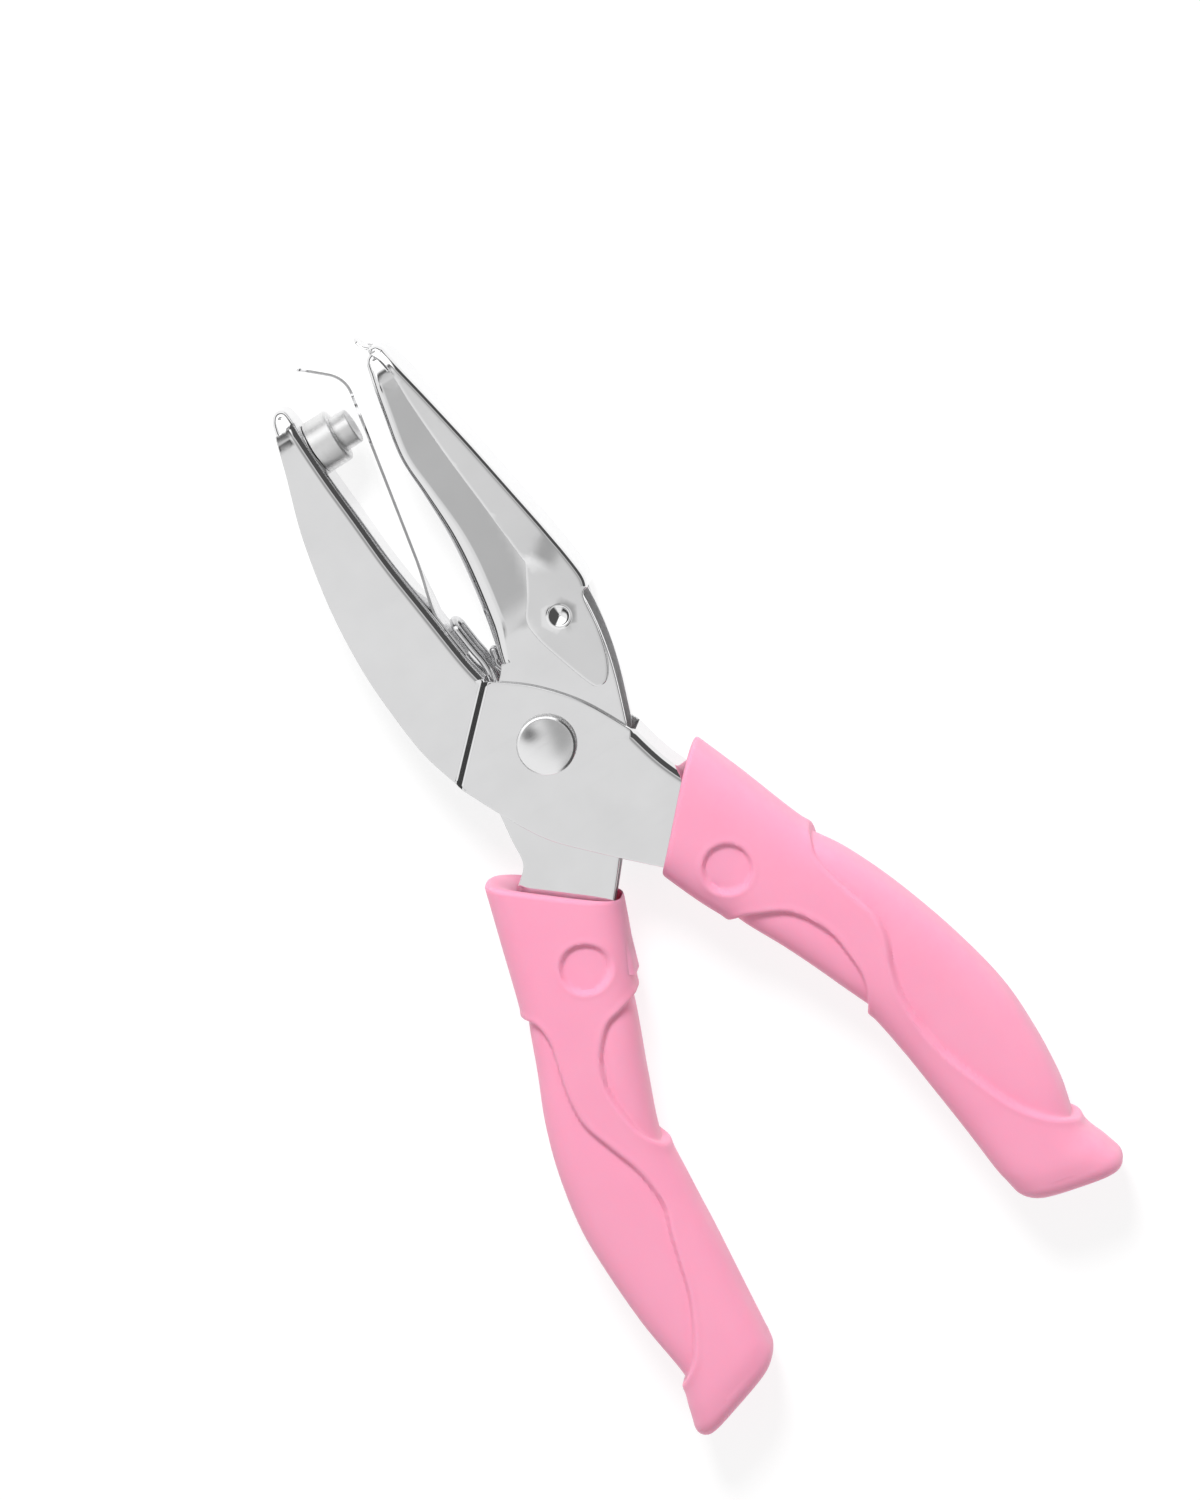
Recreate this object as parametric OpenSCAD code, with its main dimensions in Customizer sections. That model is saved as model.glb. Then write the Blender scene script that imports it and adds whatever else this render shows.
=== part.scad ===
// Hand-held craft punch: two pressed steel arms crossing at a rivet, a round punch and die in
// the jaws, a torsion spring and a stripper blade in the throat, a hinged chip catcher behind
// the die, and a soft grip on each handle. It lies flat on its side.
// Origin: on the pivot axis, on the flat underside of the rivet.
// +Z runs up the pivot axis and +Y runs from the pivot to the jaws.

/* [Sheet metal] */
// Thickness of the steel of both arms
sheet = 1.0; // [0.9:0.05:1.1]
// Half the outer width of the arm that carries the die
inner_half = 4.65; // [4.6:0.01:4.68]
// Side gap between the plates of the two arms
plate_gap = 0.05; // [0.03:0.01:0.08]
// Thickness of the chip catcher's steel
catcher_sheet = 0.7; // [0.6:0.05:0.8]
// Side gap between the chip catcher and the arm
catcher_gap = 0.1; // [0.06:0.01:0.15]

/* [Pivot] */
// Radius of the rivet's shank
shank_r = 2.5; // [2.2:0.1:2.8]
// Radial running clearance on the rivet
running = 0.05; // [0.02:0.01:0.08]
// Radius of the rivet's head
head_r = 4.35; // [4:0.05:4.6]
// Half the thickness of the whole tool, from the flat underside to the mid-plane
half_height = 7.5; // [7.4:0.1:8]
// Radius of the spacer tube between the inner plates
spacer_r = 3.5; // [3.3:0.1:3.6]

/* [Punch and die] */
// Distance of the punch from the pivot, along Y
punch_y = 53.7; // [53.4:0.1:54]
// Radius of the cutting pin
pin_r = 2.7; // [2:0.1:2.7]
// Length of the pin beyond its holder
pin_out = 2.55; // [2.3:0.05:2.6]
// Radius of the pin's holder
holder_r = 4.05; // [3.6:0.05:4.1]
// Length of the holder
holder_length = 3.85; // [3.6:0.05:3.9]
// Clearance between the pin and the die, all round
die_clearance = 0.18; // [0.15:0.01:0.25]
// Thickness of the die
die_thickness = 1.8; // [1.4:0.1:2]

/* [Springs] */
// Diameter of the return spring's wire
wire_d = 1.2; // [1:0.1:1.2]
// Thickness of the stripper blade
blade_t = 0.4; // [0.3:0.05:0.45]

/* [Hidden] */
$fn = 64;

// Levels above the mid-plane: the punch arm's jaw is as wide as the die arm, and its plates
// step out over the die arm's plates at the joggle.
jaw_low = inner_half + plate_gap - sheet;
jaw_high = jaw_low + sheet;
outer_high = jaw_high + sheet;
inner_low = inner_half - sheet;
catcher_low = inner_half + catcher_gap;
catcher_high = catcher_low + catcher_sheet;
steps = 5;
overlap = 0.02;

// Rotation of the die arm at which the pin is half way into the die
cutting = 6.5;

// Punch arm, seen along the pivot: the free edge, the web in the throat, the joggle between
// jaw and plates, the upper and lower edge of the plates and the two edges of the tang
arm_a_free = [[-14.4, 1.4], [-16.2, 8], [-16.9, 15], [-17.1, 23], [-16.2, 33], [-13.9, 44],
              [-10.9, 53], [-9.2, 58.6]];
arm_a_nose = [[-8.6, 60.6], [-7.5, 61.4], [-6.7, 61.3], [-5.9, 60.3]];
arm_a_web = [[-5.8, 58.5], [-5.7, 50], [-5.3, 42], [-4.9, 34], [-4.1, 26], [-3.2, 17],
             [-2.5, 12.6]];
joggle_line = [[-14.4, 1.4], [-2.7, 12.6]];
arm_a_upper = [[-2.9, 12.6], [2.9, 8.2], [7.8, 2.4], [11.5, -5.1]];
arm_a_outer = [[12.4, -5.1], [13.6, -11.5], [17, -19], [21.5, -28], [26, -38], [29.8, -50],
               [32, -62], [32.6, -74], [32, -85]];
arm_a_inner = [[26.2, -85], [24.6, -73], [22.4, -63], [19.4, -53], [14.8, -43.5], [9.6, -34.5],
               [4.6, -24.3]];
arm_a_lower = [[4.6, -24.3], [-2.6, -17.2], [-7.7, -11.6], [-11.2, -5.4], [-14.4, 1.4]];

// Die arm: the web in the throat, the hidden edge round the pivot, the two edges of the tang
// and the free edge under the chip catcher
arm_b_web = [[0.6, 13.3], [1.9, 19.5], [3.1, 26], [4, 33], [4.3, 40], [4.42, 46.4],
             [5.85, 53.2], [7.2, 59]];
arm_b_nose = [[7.5, 60.2], [8.4, 61], [9.4, 61], [10.2, 60]];
arm_b_free = [[10.6, 58], [12.2, 50], [13.9, 40], [15.2, 30], [16, 21], [16.1, 15.4],
              [15.4, 9.6], [13.9, 3.6], [11.1, -4.2]];
arm_b_under = [[11.1, -4.2], [7.4, -10.3], [-0.2, -19.8], [-5.2, -25.6]];
arm_b_inner = [[-5.2, -25.6], [-9, -34], [-12.8, -42.5], [-16.4, -51.5], [-19.2, -61],
               [-20.6, -70], [-21.6, -78], [-22.2, -86]];
arm_b_outer = [[-29.2, -86], [-30.3, -77], [-30.6, -67], [-29.8, -57], [-27.7, -47],
               [-24.6, -37.5], [-20.9, -29], [-17.9, -21.5], [-15.2, -15.6]];
arm_b_waist = [[-15.2, -15.6], [-12.7, -13.2], [-12.2, -9.6], [-11.6, -5.4], [-11, -0.5],
               [-8.4, 4], [-4.2, 8.8], [-0.6, 11.8], [0.6, 13.3]];

// Chip catcher: the outer face, the inner edge of its sides and the ear round its hinge
catcher_outer = [[17.4, 16.2], [17.8, 18.6], [17, 26], [15.8, 34], [14.4, 43], [12.9, 51.5],
                 [11.6, 58.2], [11, 61]];
catcher_top = [[11, 61], [10.2, 61.9], [8.9, 62]];
catcher_inner = [[8.9, 61.35], [10.2, 58.5], [10.2, 52], [10.5, 43], [11.1, 34], [11.7, 24]];
catcher_ear = [[11.7, 24], [9.4, 20], [7.3, 16.9], [7.2, 14], [8.2, 10], [10, 4.4],
               [11, 3.2], [12.6, 3.4], [14.3, 6.2], [15.5, 10.6], [16.2, 15.4], [17.4, 16.2]];
hinge = [11.7, 14.8];
hinge_r = 1.3;
dimple_r = 0.8;
lip = [[9.4, 61.7], [8.7, 62.2], [8.2, 63], [7.8, 64.3]];
lip_half = 2;

// Punch: where the throat face of the web is under the holder
holder_x = -5.7;
stem_r = 2;

// Die: where the web's face is, its tilt while open, and where the pin meets it
web_tilt = 12;
die_at = [5.88, 53.36];
die_r = 3.45;
hole_at = [6.06, 53.36];

// Stripper blade: tail on the punch arm's web, bend, straight blade and hook
tail_foot = [-3.02, 17];
tail_angle = 95.5;
tail_length = 7;
blade_angle = 78.4;
blade_length = 33.8;
bend_r = 2;
hook_r = 4.5;
hook_angle = 138;
hook_length = 4.2;
root_half = 3.4;
neck_half = 2.1;
ring_r = 4.1;
ring_hole_r = 3.15;
ring_y = 53.2;
tongue_half = 1.3;

// Return spring: two coils joined by a loop on the punch arm's web, free ends on the die arm's
coil_r = 4.42;
coil_inner_z = 0.7;
coil_pitch = 1.38;
coil_turns = 1 + 219 / 360;
coil_start = 21;
spring_tip = [0.08, 15.2];
spring_rest = [-0.14, 14.2];
spring_knee = [-0.4, 13];
loop_low = [-1.65, 14];
loop_high = [-2.33, 20.6];
wire_sides = 8;

// Grips: outer edge, inner edge and half thickness from the mouth to the butt
grip_a_outer = [[17.6, -11], [20.8, -19], [24.7, -29.6], [28.4, -37.4], [31.8, -45.5],
                [35.2, -55.5], [37.4, -65], [37.9, -73], [37.4, -81], [36.5, -88.3],
                [38.4, -94.2], [38.4, -96.8]];
grip_a_inner = [[3.2, -25.5], [5.8, -31.8], [9.2, -37.2], [12.8, -44], [16.1, -51.3],
                [18.4, -58.3], [19.6, -65.4], [20.6, -72.6], [21.5, -80.4], [22.3, -87.5],
                [23, -92.4], [25, -94.6]];
grip_b_outer = [[-19.4, -12.4], [-22.2, -21.6], [-25.4, -31.8], [-27.8, -39.4], [-31, -47],
                [-33.3, -54.5], [-34.8, -63], [-35, -70.5], [-34.4, -79.5], [-33.3, -88.6],
                [-34.9, -94.8], [-34.3, -97.9]];
grip_b_inner = [[-3.5, -25.3], [-6, -31.2], [-9.4, -37.4], [-12.1, -43.4], [-14.7, -50.2],
                [-16.7, -57.4], [-17.4, -66], [-17.9, -73.6], [-18.6, -81.5], [-19.3, -89.4],
                [-19.9, -93.8], [-22, -95.6]];
grip_half = [7.5, 7.5, 7.5, 7.3, 7.1, 7, 6.9, 6.9, 7, 7.2, 7.2, 5.2];
grip_sides = 24;
grip_square = 0.55;
tang_gap = 0.05;

// Point on a smooth curve through b and c, at t from 0 to 1, with neighbours a and d
function between(a, b, c, d, t) =
    0.5 * (2 * b + (c - a) * t + (2 * a - 5 * b + 4 * c - d) * t * t
           + (3 * b - a - 3 * c + d) * t * t * t);

// Smooth curve through the points p, with n steps between each pair
function curve(p, n = steps) = [
    for (i = [0 : len(p) - 2], k = [0 : n - 1])
        between(p[max(i - 1, 0)], p[i], p[i + 1], p[min(i + 2, len(p) - 1)], k / n),
    p[len(p) - 1]
];

function unit(v) = v / norm(v);

// Closed outline from several curves, without the points that two of them share
function outline(curves) =
    let (p = [for (c = curves) each c], n = len(p))
    [for (i = [0 : n - 1]) if (norm(p[i] - p[(i + 1) % n]) > 0.01) p[i]];

function reversed(p) = [for (i = [len(p) - 1 : -1 : 0]) p[i]];

// Direction of travel along the path p at point i
function heading(p, i) = unit(p[min(i + 1, len(p) - 1)] - p[max(i - 1, 0)]);

// The path p moved to its left by d
function beside(p, d) = [
    for (i = [0 : len(p) - 1])
        let (h = heading(p, i)) len(p[i]) == 2 ? p[i] + d * [-h[1], h[0]] : p[i]
];

// Points of an arc round c, from angle a to angle b
function arc(c, r, a, b, n = 12) =
    [for (k = [0 : n]) c + r * [cos(a + (b - a) * k / n), sin(a + (b - a) * k / n)]];

// Closed band between the path p and the same path moved left by d
module band(p, d) {
    polygon(concat(p, reversed(beside(p, d))));
}

// The children's outline as a slab from low to high, on both sides of the mid-plane
module both_sides(low, high) {
    for (side = [0, 1])
        mirror([0, 0, side])
            translate([0, 0, low])
                linear_extrude(high - low)
                    children();
}

// The children's outline right across the mid-plane
module across(half) {
    linear_extrude(2 * half, center = true)
        children();
}

module lifted() {
    translate([0, 0, half_height])
        children();
}

// A bar along X that starts at the origin
module along_x(r, length) {
    rotate([0, 90, 0])
        cylinder(r = r, h = length);
}

// Outlines
jaw_a = outline([curve(arm_a_free), curve(arm_a_nose), curve(arm_a_web)]);
plates_a = outline([curve(arm_a_upper), curve(arm_a_outer), curve(arm_a_inner),
                    curve(arm_a_lower)]);
plates_b = outline([curve(arm_b_web), curve(arm_b_nose), curve(arm_b_free),
                    curve(arm_b_under), curve(arm_b_inner), curve(arm_b_outer),
                    curve(arm_b_waist)]);
catcher_side = outline([curve(catcher_outer), curve(catcher_top), curve(catcher_inner),
                        curve(catcher_ear)]);

// Closed end of a jaw: all of its outline beyond y
module nose(side_view, y) {
    intersection() {
        polygon(side_view);
        translate([-half_height * 2, y])
            square(half_height * 4);
    }
}

module punch_arm_web() {
    across(jaw_high)
        band(curve(concat([[-5.9, 60.3]], arm_a_web)), -sheet);
    across(jaw_high)
        nose(jaw_a, 60.2);
}

module joggle() {
    wall = 1.3;
    both_sides(jaw_low, outer_high)
        band(beside(joggle_line, wall / 2), -wall);
}

module punch_arm() {
    color("silver")
        lifted()
            difference() {
                union() {
                    both_sides(jaw_low, jaw_high)
                        polygon(jaw_a);
                    both_sides(jaw_high, outer_high)
                        polygon(plates_a);
                    punch_arm_web();
                    joggle();
                    across(outer_high)
                        band(curve(arm_a_outer), -sheet);
                }
                cylinder(r = shank_r, h = 4 * half_height, center = true);
                translate([holder_x - 2 * sheet, punch_y, 0])
                    along_x(stem_r, 3 * sheet);
            }
}

module die_arm() {
    color("darkgray")
        lifted()
            difference() {
                union() {
                    both_sides(inner_low, inner_half)
                        polygon(plates_b);
                    across(inner_half) {
                        band(curve(arm_b_web), -sheet);
                        band(curve(arm_b_outer), -sheet);
                    }
                    across(inner_half)
                        nose(plates_b, 59.8);
                }
                cylinder(r = shank_r + running, h = 4 * half_height, center = true);
                translate(hinge)
                    cylinder(r = hinge_r + running, h = 4 * half_height, center = true);
                translate(die_at)
                    rotate([0, 0, -web_tilt])
                        translate([-sheet, 0, 0])
                            along_x(die_r, 3 * sheet);
            }
}

// Domed head on top, shank, and a flat head that the tool rests on
module pivot_rivet() {
    edge = 0.5;
    top = half_height;
    dome = top - outer_high - edge;
    dome_r = (head_r * head_r + dome * dome) / (2 * dome);
    dome_angle = asin(head_r / dome_r);
    flat_r = head_r - 0.2;
    color("gainsboro")
        lifted()
            rotate_extrude()
                polygon(concat(
                    arc([0, top - dome_r], dome_r, 90, 90 - dome_angle),
                    [[head_r, outer_high], [shank_r, outer_high], [shank_r, -outer_high],
                     [flat_r, -outer_high], [flat_r, edge - top], [flat_r - edge, -top],
                     [0, -top]]));
}

module pivot_spacer() {
    color("gray")
        lifted()
            difference() {
                cylinder(r = spacer_r, h = 2 * (inner_low - plate_gap), center = true);
                cylinder(r = shank_r + running, h = 4 * half_height, center = true);
            }
}

// Pin's holder, with its stem through the web and a rounded rim
module punch_holder() {
    rim = 0.45;
    bore_r = 1.6;
    color("silver")
        lifted()
            translate([holder_x, punch_y, 0])
                rotate([0, 90, 0])
                    rotate_extrude()
                        polygon(concat(
                            [[bore_r, -sheet], [stem_r, -sheet], [stem_r, 0], [holder_r, 0]],
                            arc([holder_r - rim, holder_length - rim], rim, 0, 90),
                            [[bore_r, holder_length]]));
}

// Cutting pin with a hollow-ground end and a tail held in the holder
module punch_pin() {
    rim = 0.25;
    hollow_r = 2;
    hollow_depth = 0.5;
    bore_r = 1.6;
    color("white")
        lifted()
            translate([holder_x, punch_y, 0])
                rotate([0, 90, 0])
                    translate([0, 0, holder_length])
                        rotate_extrude()
                            polygon(concat(
                                [[0, -holder_length - sheet], [bore_r, -holder_length - sheet],
                                 [bore_r, 0], [pin_r, 0]],
                                arc([pin_r - rim, pin_out - rim], rim, 0, 90, 6),
                                [[hollow_r, pin_out], [0, pin_out - hollow_depth]]));
}

// Disc let into the web, flush with its throat face; its hole lies along the pin's path
module die_insert() {
    color("dimgray")
        lifted()
            difference() {
                translate(die_at)
                    rotate([0, 0, -web_tilt])
                        along_x(die_r, die_thickness);
                translate(hole_at)
                    rotate([0, 0, -cutting])
                        translate([-die_thickness, 0, 0])
                            along_x(pin_r + die_clearance, 4 * die_thickness);
            }
}

// Side view of the stripper blade, as one path from its tail to the tip of its hook
function blade_path() =
    let (tail_end = tail_foot + tail_length * [cos(tail_angle), sin(tail_angle)],
         turn = tail_end + bend_r * [sin(tail_angle), -cos(tail_angle)],
         bend = arc(turn, bend_r, tail_angle + 90, blade_angle + 90, 4),
         start = bend[4],
         finish = start + blade_length * [cos(blade_angle), sin(blade_angle)],
         centre = finish + hook_r * [-sin(blade_angle), cos(blade_angle)],
         hook = arc(centre, hook_r, blade_angle - 90, hook_angle - 90, 8),
         tip = hook[8] + hook_length * [cos(hook_angle), sin(hook_angle)])
    concat([tail_foot], bend, hook, [tip]);

// Face view of the blade: wide root, narrow neck, ring round the pin and a slim tongue
module blade_face() {
    difference() {
        union() {
            polygon([[16, -root_half], [24, -root_half], [34, -neck_half], [ring_y, -neck_half],
                     [ring_y, neck_half], [34, neck_half], [24, root_half], [16, root_half]]);
            translate([ring_y, 0])
                circle(r = ring_r);
            translate([ring_y, -tongue_half])
                square([14, 2 * tongue_half]);
        }
        translate([ring_y, 0])
            circle(r = ring_hole_r);
    }
}

module stripper_blade() {
    reach = 30;
    color("lightgray")
        lifted()
            intersection() {
                across(ring_r + 1)
                    band(blade_path(), -blade_t);
                rotate([90, 0, 90])
                    translate([0, 0, -reach])
                        linear_extrude(2 * reach)
                            blade_face();
            }
}

// Centre line of one half of the spring, from its free end to the top of the loop
function coil_point(a, z) = [coil_r * cos(a), coil_r * sin(a), z];
function spring_half() =
    let (rise = coil_turns * coil_pitch, count = 36,
         outer_z = coil_inner_z + rise)
    concat(
        [[spring_tip[0], spring_tip[1], coil_inner_z],
         [spring_rest[0], spring_rest[1], coil_inner_z],
         [spring_knee[0], spring_knee[1], coil_inner_z]],
        [for (k = [0 : count]) coil_point(coil_start - 360 * coil_turns * k / count,
                                          coil_inner_z + rise * k / count)],
        [[loop_low[0], loop_low[1], outer_z], [loop_high[0], loop_high[1], outer_z]]);

// Half circle over the top of the loop
function loop_top() =
    let (z = coil_inner_z + coil_turns * coil_pitch,
         up = unit(loop_high - loop_low))
    [for (k = [1 : 7])
        let (a = 180 * k / 8, q = loop_high + 1.3 * sin(a) * up) [q[0], q[1], z * cos(a)]];

function flipped(p) = [for (q = reversed(p)) [q[0], q[1], -q[2]]];
function spring_path() = concat(spring_half(), loop_top(), flipped(spring_half()));

// Ring of the wire's surface round path point i
function wire_ring(p, i) =
    let (h = heading(p, i),
         side = unit(cross(h, abs(h[2]) < 0.8 ? [0, 0, 1] : [0, 1, 0])),
         up = cross(side, h))
    [for (k = [0 : wire_sides - 1])
        let (a = 360 * k / wire_sides)
        p[i] + wire_d / 2 * (cos(a) * side + sin(a) * up)];

// Faces of a tube of n rings with m points each
function tube_faces(n, m) = concat(
    [[for (k = [0 : m - 1]) k]],
    [for (i = [0 : n - 2], k = [0 : m - 1])
        let (a = i * m + k, b = i * m + (k + 1) % m) each [[a, a + m, b + m], [a, b + m, b]]],
    [[for (k = [m - 1 : -1 : 0]) (n - 1) * m + k]]);

module return_spring() {
    path = spring_path();
    color("darkgray")
        lifted()
            polyhedron(
                points = [for (i = [0 : len(path) - 1]) each wire_ring(path, i)],
                faces = tube_faces(len(path), wire_sides));
}

module chip_catcher() {
    stud_low = inner_low + 0.2;
    color("lightgray")
        lifted()
            difference() {
                union() {
                    both_sides(catcher_low, catcher_high)
                        polygon(catcher_side);
                    across(catcher_high)
                        band(curve(concat(catcher_outer, [catcher_top[1], catcher_top[2]])),
                             catcher_sheet);
                    across(lip_half)
                        band(curve(lip), 0.45);
                    both_sides(stud_low, catcher_low + overlap)
                        translate(hinge)
                            circle(r = hinge_r);
                }
                both_sides(catcher_low - 0.4, catcher_high + 1)
                    translate(hinge)
                        circle(r = dimple_r);
            }
}

// Ring i of a grip: a rounded rectangle between its outer and inner edge
function soft(v) = sign(v) * pow(abs(v), grip_square);
function grip_ring(outer, inner, half) =
    let (centre = (outer + inner) / 2, reach = (outer - inner) / 2)
    [for (k = [0 : grip_sides - 1])
        let (a = 360 * (k + 0.5) / grip_sides, q = centre + reach * soft(cos(a)))
        [q[0], q[1], half * soft(sin(a))]];

// Sleeve through all rings; way is 1 or -1, for a grip on the right or on the left
module sleeve(outer, inner, way) {
    o = curve(outer, 2);
    n = curve(inner, 2);
    h = curve([for (v = grip_half) [v, 0]], 2);
    rings = [for (i = [0 : len(o) - 1]) each grip_ring(o[i], n[i], h[i][0])];
    faces = tube_faces(len(o), grip_sides);
    polyhedron(points = rings, faces = way > 0 ? faces : [for (f = faces) reversed(f)]);
}

module punch_arm_grip() {
    color("pink")
        lifted()
            difference() {
                sleeve(grip_a_outer, grip_a_inner, 1);
                across(outer_high + tang_gap)
                    polygon(plates_a);
            }
}

module die_arm_grip() {
    color("pink")
        lifted()
            difference() {
                sleeve(grip_b_outer, grip_b_inner, -1);
                across(inner_half + tang_gap)
                    polygon(plates_b);
            }
}

punch_arm();
die_arm();
pivot_rivet();
pivot_spacer();
return_spring();
stripper_blade();
punch_holder();
punch_pin();
die_insert();
chip_catcher();
punch_arm_grip();
die_arm_grip();
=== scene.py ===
"""Craft punch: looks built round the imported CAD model. Outlines are in millimetres, seen along the
pivot, with heights measured from the tool's mid-plane; the scene itself is in metres."""

import math

import bmesh
import bpy
import numpy as np
from mathutils import Matrix, Vector
from mathutils.geometry import delaunay_2d_cdt


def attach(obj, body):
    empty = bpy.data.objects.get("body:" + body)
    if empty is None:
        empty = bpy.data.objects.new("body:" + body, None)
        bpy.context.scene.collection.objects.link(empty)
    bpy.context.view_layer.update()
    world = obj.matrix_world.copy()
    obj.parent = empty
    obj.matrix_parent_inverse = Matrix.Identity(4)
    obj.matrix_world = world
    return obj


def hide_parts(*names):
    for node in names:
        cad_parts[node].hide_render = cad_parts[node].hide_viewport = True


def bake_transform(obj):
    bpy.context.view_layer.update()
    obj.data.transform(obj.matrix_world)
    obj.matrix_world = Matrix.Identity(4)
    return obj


MM = 0.001
MID = 7.5  # height of the mid-plane above the floor, mm

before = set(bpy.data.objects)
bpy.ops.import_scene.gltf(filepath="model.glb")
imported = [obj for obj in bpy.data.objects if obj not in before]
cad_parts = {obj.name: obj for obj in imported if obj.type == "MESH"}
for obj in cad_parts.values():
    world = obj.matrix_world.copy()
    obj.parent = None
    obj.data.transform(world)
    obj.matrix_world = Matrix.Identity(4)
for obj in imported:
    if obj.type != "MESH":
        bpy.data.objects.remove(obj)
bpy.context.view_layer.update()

# Image axes on the floor, and the way to the camera
IMAGE_RIGHT = Vector((0.848, -0.53, 0))
IMAGE_UP = Vector((0.53, 0.848, 0))
TO_CAMERA = Vector((0.155, 0.103, 0.98)).normalized()

# Thicknesses of the sheet metal, and the levels of its outer faces above the mid-plane
SHEET = 1.0
JAW_TOP = 4.7
PLATE_TOP = 5.7
INNER_TOP = 4.65
CATCHER_TOP = 5.45
CATCHER_SHEET = 0.7
EDGE = 0.16  # rounding of the sheared edges of the sheet
SHARP = math.radians(45)  # where the shading of a piece breaks
EDGE_ANGLE = math.radians(50)  # where an edge is rounded

SHANK_R, SHANK_HOLE_R = 2.5, 2.55  # the rivet's shank and its running hole
HINGE, HINGE_HOLE_R = (11.7, 14.8), 1.35  # the chip catcher's hinge


# ---------------------------------------------------------------- curves and outlines


def between(a, b, c, d, t):
    """Point on a smooth curve from b to c, with neighbours a and d."""
    return 0.5 * (
        2 * b
        + (c - a) * t
        + (2 * a - 5 * b + 4 * c - d) * t * t
        + (3 * b - a - 3 * c + d) * t**3
    )


def curve(points, steps=8):
    """Smooth curve through the points, with so many steps from each to the next."""
    p = np.array(points, float)
    last = len(p) - 1
    out = [
        between(p[max(i - 1, 0)], p[i], p[i + 1], p[min(i + 2, last)], k / steps)
        for i in range(last)
        for k in range(steps)
    ]
    return np.array(out + [p[-1]])


def ease(low, high, value):
    """0 below low, 1 above high, smooth between."""
    t = np.clip((value - low) / (high - low), 0, 1)
    return t * t * (3 - 2 * t)


def bump(value):
    """1 at 0, falling smoothly to nothing about 2 away."""
    return np.exp(-value * value)


def ring_of(centre, radius, count):
    """Points of a circle."""
    a = np.linspace(0, 2 * math.pi, count, endpoint=False)
    return np.array(centre) + radius * np.stack([np.cos(a), np.sin(a)], 1)


def inside(points, loop):
    """Which points lie in the closed loop."""
    x, y = points[:, 0:1], points[:, 1:2]
    a, b = loop, np.roll(loop, -1, 0)
    crosses = (a[:, 1] > y) != (b[:, 1] > y)
    rise = np.where(np.abs(b[:, 1] - a[:, 1]) < 1e-12, 1e-12, b[:, 1] - a[:, 1])
    at = a[:, 0] + (y - a[:, 1]) * (b[:, 0] - a[:, 0]) / rise
    return (crosses & (x < at)).sum(1) % 2 == 1


def nearest(points, path):
    """Distance from each point to the open path, with the sign of the side: + on its left."""
    best = np.full(len(points), 1e9)
    beside = np.zeros(len(points))
    for p, q in zip(path[:-1], path[1:]):
        d = (q - p) / np.hypot(*(q - p))
        t = np.clip((points - p) @ d, 0, np.hypot(*(q - p)))
        far = np.hypot(*(points - p - t[:, None] * d).T)
        side = d[0] * (points[:, 1] - p[1]) - d[1] * (points[:, 0] - p[0])
        tie = np.abs(far - best) < 1e-6
        closer = (far < best - 1e-6) | (tie & (np.abs(side) > np.abs(beside)))
        best = np.minimum(best, far)
        beside = np.where(closer, side, beside)
    return best * np.where(beside < 0, -1, 1)


def facing_in(loop):
    """Unit vector into the closed loop at each of its points."""
    ahead, behind = np.roll(loop, -1, 0), np.roll(loop, 1, 0)
    d = ahead - behind
    d /= np.maximum(np.hypot(d[:, 0], d[:, 1]), 1e-9)[:, None]
    area = np.sum(loop[:, 0] * ahead[:, 1] - ahead[:, 0] * loop[:, 1])
    return np.stack([-d[:, 1], d[:, 0]], 1) * (1 if area > 0 else -1)


def filled(loop, holes, spacing, extra=()):
    """Flat triangles inside the loop and outside the holes, with points all over the inside."""
    low, high = loop.min(0), loop.max(0)
    xs = np.arange(low[0], high[0], spacing)
    ys = np.arange(low[1], high[1], spacing * 0.866)
    grid = np.array(
        [(x + (j % 2) * spacing / 2, y) for j, y in enumerate(ys) for x in xs]
    )
    extra = np.array(extra, float).reshape(-1, 2)
    edges_at = np.concatenate([loop, *holes])
    if len(extra):
        extra = extra[inside(extra, loop)]
        far = np.hypot(*(extra[:, None] - edges_at[None]).transpose(2, 0, 1)).min(1)
        extra = extra[far > 0.16]
    fixed = np.concatenate([edges_at, extra]) if len(extra) else edges_at
    grid = grid[inside(grid, loop)]
    far = np.hypot(*(grid[:, None] - fixed[None]).transpose(2, 0, 1)).min(1)
    grid = grid[far > 0.6 * spacing]
    points = np.concatenate([edges_at, extra, grid]) if len(extra) else np.concatenate([edges_at, grid])
    edges, start = [], 0
    for ring in [loop, *holes]:
        n = len(ring)
        edges += [(start + i, start + (i + 1) % n) for i in range(n)]
        start += n
    verts, _, faces, source, _, _ = delaunay_2d_cdt(
        [Vector(p) for p in points], edges, [], 0, 1e-7
    )
    verts = np.array([tuple(v) for v in verts])
    middle = np.array([verts[list(f)].mean(0) for f in faces])
    keep = inside(middle, loop)
    for hole in holes:
        keep &= ~inside(middle, hole)
    faces = [tuple(f) for f, k in zip(faces, keep) if k]
    place = {s[0]: i for i, s in enumerate(source) if s}
    return verts, faces, [place[i] for i in range(len(edges_at))]


# ---------------------------------------------------------------- objects


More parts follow.
